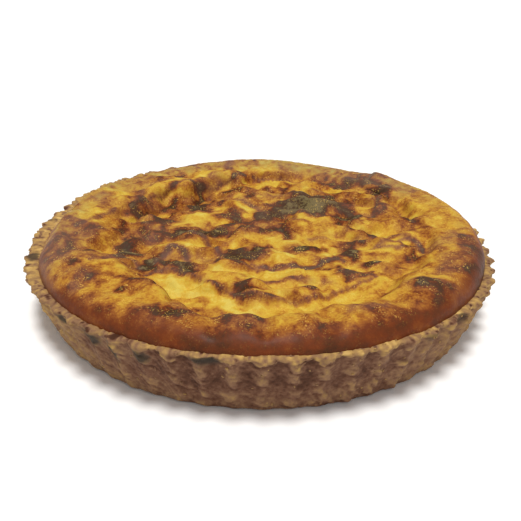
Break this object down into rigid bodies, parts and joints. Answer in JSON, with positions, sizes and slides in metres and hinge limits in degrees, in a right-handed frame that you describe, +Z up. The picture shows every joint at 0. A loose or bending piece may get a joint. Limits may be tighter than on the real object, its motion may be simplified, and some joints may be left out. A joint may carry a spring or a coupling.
{
  "type": "rice tart",
  "caption": "Round rice tart out of its tin: a fluted shortcrust case filled with baked rice custard whose blistered, browned skin swells over the rim in a ring.",
  "frame": {"origin": "middle of the flat underside of the pastry case, where the tart rests", "axes": "+Z up through the middle of the tart; -Y is the side seen first, opposite the stretch where the rim rose in the oven"},
  "size_m": [0.24, 0.24, 0.04],
  "materials": {
    "baked_pastry": "matte, dry and crumbly baked shortcrust, browner in the flutes and at the base",
    "baked_custard": "satin baked egg and milk skin over rice, blistered, golden to dark brown with olive-grey scorched patches"
  },
  "bodies": {
    "root": {"pastry_case": "baked_pastry", "rice_filling": "baked_custard"}
  },
  "joints": []
}
